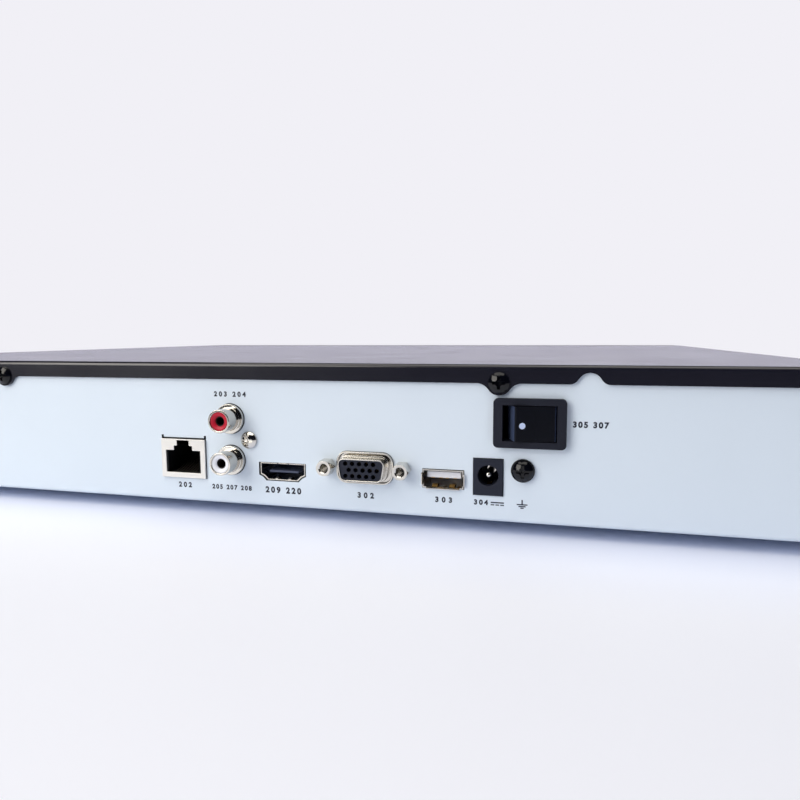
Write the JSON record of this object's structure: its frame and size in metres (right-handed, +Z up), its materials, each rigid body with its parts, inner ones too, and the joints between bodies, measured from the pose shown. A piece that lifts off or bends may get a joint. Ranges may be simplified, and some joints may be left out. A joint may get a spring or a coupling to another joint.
{
  "type": "desktop video recorder",
  "caption": "Low black steel recorder for surveillance cameras, pale connector panel with network, sound, video, data and power sockets, rocker switch, hard drive inside.",
  "frame": {"origin": "under the middle of the whole recorder, on the surface that its rubber feet stand on", "axes": "+X to the right when looking at the connector panel, +Y from the connector panel towards the front bezel, +Z up"},
  "size_m": [0.3826, 0.3278, 0.052],
  "materials": {
    "panel_paint": "satin pale blue-grey paint, fine orange peel",
    "cover_powder_coat": "black powder coat with a fine grain",
    "bezel_plastic": "black, moulded, half gloss",
    "window_plastic": "smoked, smooth",
    "light_guide_plastic": "clear to milky",
    "foot_rubber": "matt",
    "black_screw_steel": "black zinc, glossy",
    "plain_screw_steel": "bright nickel",
    "socket_nickel": "bright nickel plate on sheet steel",
    "socket_tin": "tinned sheet steel",
    "gold_contact": "gold flash on brass",
    "contact_brass": "plain",
    "black_insulator": "fine mould texture",
    "slate_insulator": "fine mould texture",
    "red_insulator": "smooth",
    "white_insulator": "smooth",
    "inlet_plastic": "fine mould texture",
    "switch_bezel_plastic": "spark-eroded texture",
    "switch_rocker_plastic": "half gloss",
    "switch_copper": "plain copper alloy",
    "terminal_tin": "tinned",
    "red_lead": "vinyl sleeve",
    "board_green": "solder mask",
    "standoff_brass": "turned",
    "chip_epoxy": "moulded epoxy",
    "sink_aluminium": "plain extruded",
    "coil_ferrite": "pressed ferrite and sleeved cans",
    "cell_steel": "stainless",
    "holder_plastic": "moulded",
    "drive_alloy": "die-cast",
    "drive_lid_steel": "stamped stainless",
    "disc_mirror": "polished",
    "arm_alloy": "machined",
    "cable_red": "vinyl",
    "cable_black": "vinyl",
    "ribbon_grey": "vinyl"
  },
  "bodies": {
    "recorder": {"base_pan": "panel_paint", "top_cover": "cover_powder_coat", "front_bezel": "bezel_plastic", "status_window": "window_plastic", "status_lights": "light_guide_plastic", "front_board": "board_green", "front_usb_shell": "socket_nickel", "front_usb_tongue": "black_insulator", "rubber_feet": "foot_rubber", "foot_screws": "plain_screw_steel", "rear_cover_screws": "black_screw_steel", "side_cover_screws": "black_screw_steel", "bezel_screws": "plain_screw_steel", "earth_screw": "black_screw_steel", "earth_washer": "black_screw_steel", "audio_screw": "plain_screw_steel", "lan_shield": "socket_tin", "lan_body": "black_insulator", "lan_contacts": "gold_contact", "audio_body": "black_insulator", "audio_sleeves": "socket_nickel", "audio_in_insulator": "red_insulator", "audio_out_insulator": "white_insulator", "audio_contacts": "contact_brass", "digital_shell": "socket_nickel", "digital_body": "slate_insulator", "vga_shell": "socket_nickel", "vga_insulator": "slate_insulator", "vga_contacts": "contact_brass", "vga_jackscrews": "plain_screw_steel", "usb_shell": "socket_nickel", "usb_tongue": "white_insulator", "usb_contacts": "gold_contact", "dc_housing": "inlet_plastic", "dc_pin": "plain_screw_steel", "dc_spring": "contact_brass", "switch_housing": "switch_bezel_plastic", "switch_terminals": "terminal_tin", "switch_leads": "red_lead", "main_board": "board_green", "board_standoffs": "standoff_brass", "board_screws": "plain_screw_steel", "processor": "chip_epoxy", "heat_sink": "sink_aluminium", "board_chips": "chip_epoxy", "power_parts": "coil_ferrite", "clock_cell": "cell_steel", "cell_holder": "holder_plastic", "drive_sockets": "black_insulator", "drive_casting": "drive_alloy", "drive_lid": "drive_lid_steel", "drive_board": "board_green", "drive_screws": "plain_screw_steel", "drive_data_cable": "cable_red", "drive_power_cable": "cable_black", "front_ribbon": "ribbon_grey"},
    "rocker": {"switch_rocker": "switch_rocker_plastic"},
    "blade": {"switch_blade": "switch_copper"},
    "disc": {"drive_disc": "disc_mirror"},
    "head_arm": {"drive_arm": "arm_alloy"}
  },
  "joints": [
    {"name": "power_rocker", "type": "hinge", "parent": "recorder", "child": "rocker", "pos_m": [0.0994, -0.1492, 0.0347], "axis": [0, 0, 1], "range_deg": [-20, 0]},
    {"name": "contact_blade", "type": "hinge", "parent": "recorder", "child": "blade", "pos_m": [0.0994, -0.1433, 0.0347], "axis": [0, 0, 1], "range_deg": [0, 16]},
    {"name": "disc_spin", "type": "hinge", "parent": "recorder", "child": "disc", "pos_m": [-0.0092, 0.0825, 0.02], "axis": [0, 0, 1], "continuous": true},
    {"name": "head_arm_swing", "type": "hinge", "parent": "recorder", "child": "head_arm", "pos_m": [-0.04, 0.0265, 0.02], "axis": [0, 0, 1], "range_deg": [-33, 0]}
  ],
  "couplings": [
    {"joint": "contact_blade", "follows": "power_rocker", "ratio": -0.8}
  ]
}
